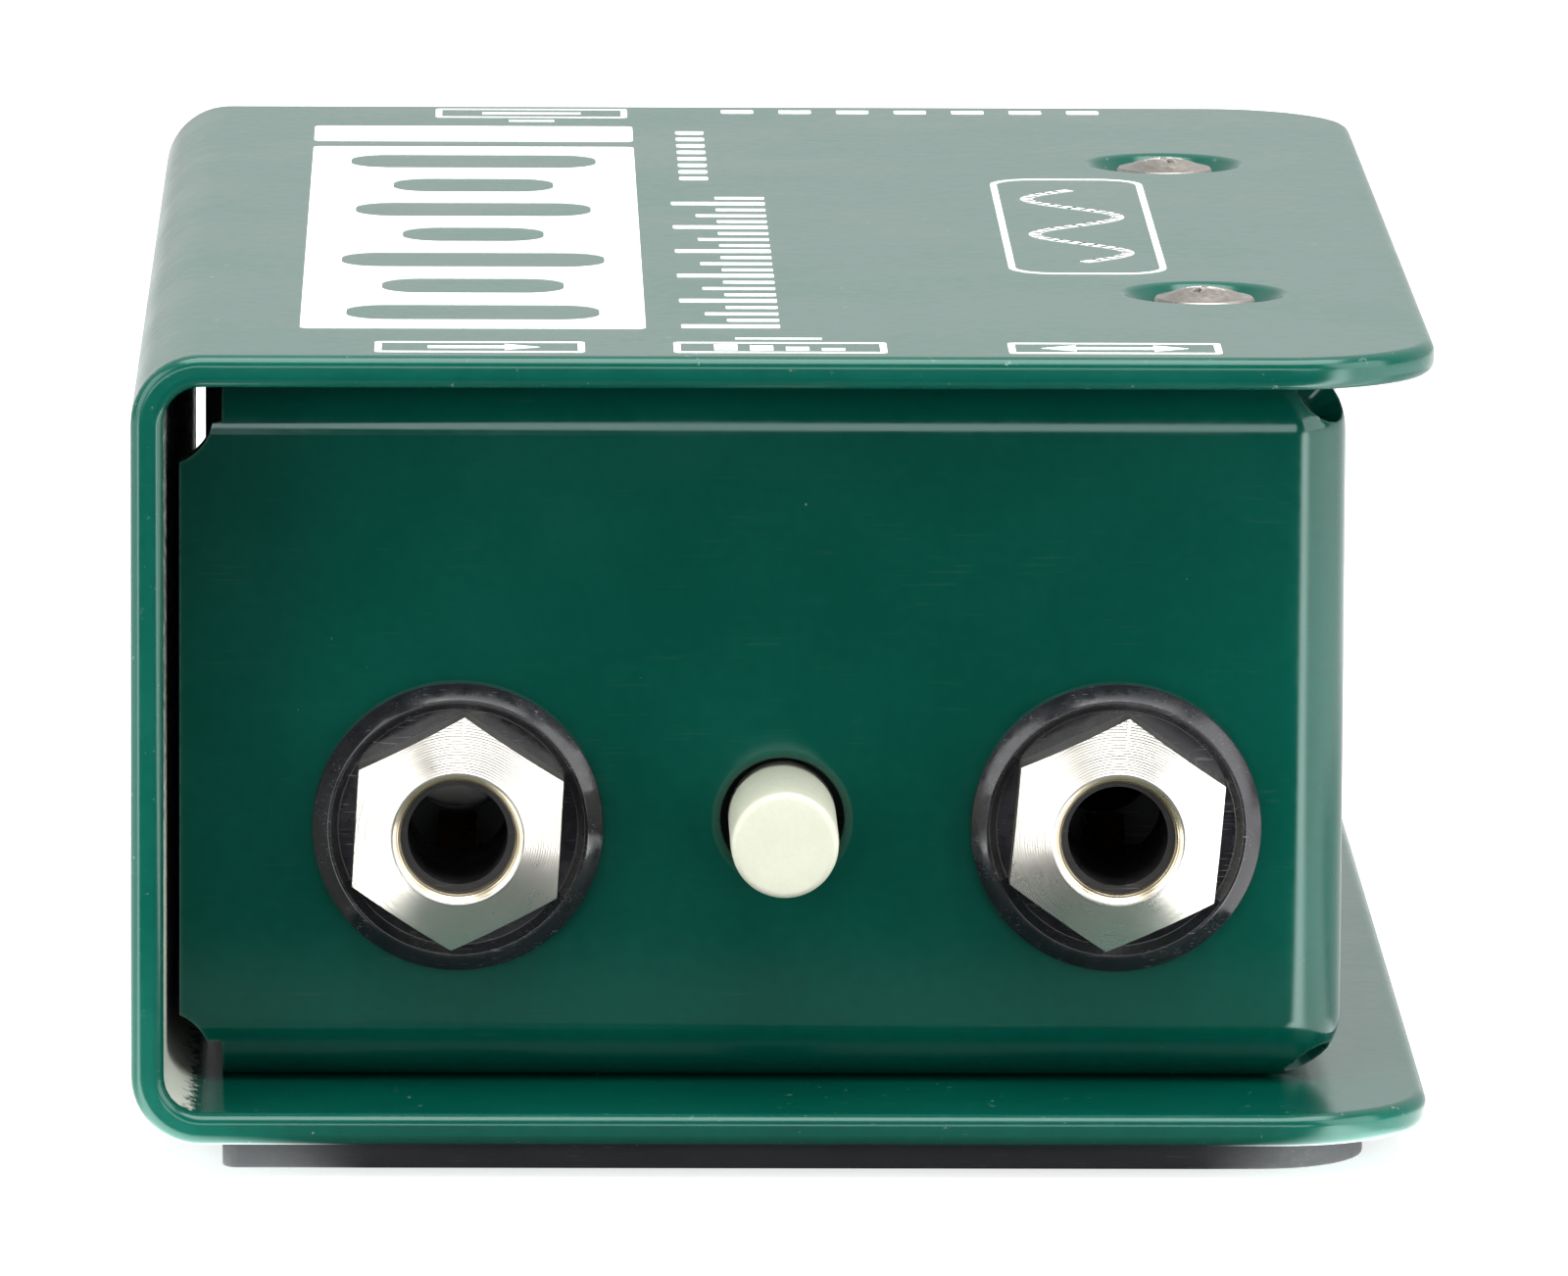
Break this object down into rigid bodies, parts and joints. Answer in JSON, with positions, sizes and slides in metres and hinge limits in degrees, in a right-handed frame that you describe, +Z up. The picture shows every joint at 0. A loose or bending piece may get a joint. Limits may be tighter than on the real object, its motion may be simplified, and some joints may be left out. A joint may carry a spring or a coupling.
{
  "type": "direct injection box",
  "caption": "Passive direct injection box: folded steel shell over a steel chassis, phone jacks and pad button in front, three-pin output and ground lift button behind.",
  "frame": {"origin": "on the ground under the middle of the shell, in width and in depth", "axes": "-Y out of the front panel with the jacks, +Y out of the rear panel, +X towards the open lips, +Z up"},
  "size_m": [0.084, 0.127, 0.0542],
  "materials": {
    "shell_coat": "gloss powder coat, dark green",
    "chassis_coat": "gloss powder coat, dark green",
    "pad_rubber": "matte closed-cell rubber, charcoal",
    "screw_steel": "zinc plated steel",
    "nut_nickel": "turned and nickel plated",
    "washer_black": "glossy black",
    "moulded_black": "moulded black",
    "button_ivory": "satin ivory moulding",
    "plunger_grey": "natural moulding",
    "contact_brass": "plated brass strip",
    "spring_steel": "bright spring wire",
    "connector_nickel": "nickel plated die casting",
    "pin_plating": "silver plated",
    "board_green": "solder mask over glass laminate",
    "mu_metal": "drawn magnetic shield, satin",
    "lamination": "stacked laminations",
    "bobbin_natural": "natural nylon",
    "enamel_copper": "enamelled copper wire",
    "resistor_blue": "lacquered",
    "resistor_tan": "lacquered",
    "film_red": "moulded box",
    "wire_red": "insulation",
    "wire_white": "insulation",
    "wire_black": "insulation"
  },
  "bodies": {
    "root": {"outer_shell": "shell_coat", "chassis": "chassis_coat", "base_pad": "pad_rubber", "top_screws": "screw_steel", "bottom_screws": "screw_steel", "weld_nuts": "screw_steel", "input_jack_body": "moulded_black", "input_jack_nut": "nut_nickel", "input_jack_washer": "washer_black", "input_jack_tip_contact": "contact_brass", "input_jack_sleeve_contact": "contact_brass", "thru_jack_body": "moulded_black", "thru_jack_nut": "nut_nickel", "thru_jack_washer": "washer_black", "thru_jack_tip_contact": "contact_brass", "thru_jack_sleeve_contact": "contact_brass", "pad_switch_housing": "moulded_black", "pad_switch_terminals": "contact_brass", "pad_switch_spring": "spring_steel", "lift_switch_housing": "moulded_black", "lift_switch_terminals": "contact_brass", "lift_switch_spring": "spring_steel", "xlr_housing": "connector_nickel", "xlr_insert": "moulded_black", "xlr_pins": "pin_plating", "xlr_ground_tab": "contact_brass", "xlr_screws": "screw_steel", "xlr_nuts": "screw_steel", "hot_wire": "wire_red", "cold_wire": "wire_white", "shield_wire": "wire_black", "circuit_board": "board_green", "board_standoffs": "screw_steel", "board_screws": "screw_steel", "transformer_shield": "mu_metal", "transformer_header": "moulded_black", "transformer_core": "lamination", "transformer_bobbin": "bobbin_natural", "primary_winding": "enamel_copper", "secondary_winding": "enamel_copper", "transformer_pins": "pin_plating", "pad_resistors": "resistor_blue", "lift_resistor": "resistor_tan", "filter_capacitors": "film_red"},
    "pad_button": {"pad_button_cap": "button_ivory", "pad_switch_plunger": "plunger_grey", "pad_switch_bridges": "contact_brass"},
    "lift_button": {"lift_button_cap": "button_ivory", "lift_switch_plunger": "plunger_grey", "lift_switch_bridges": "contact_brass"}
  },
  "joints": [
    {"name": "pad_button_press", "type": "slide", "parent": "root", "child": "pad_button", "axis": [0, 1, 0], "range_m": [0, 0.0032], "stiffness_N_per_m": 350, "springref_m": -0.0025, "deforming": ["pad_switch_spring"]},
    {"name": "lift_button_press", "type": "slide", "parent": "root", "child": "lift_button", "axis": [0, -1, 0], "range_m": [0, 0.0032], "stiffness_N_per_m": 350, "springref_m": -0.0025, "deforming": ["lift_switch_spring"]}
  ]
}
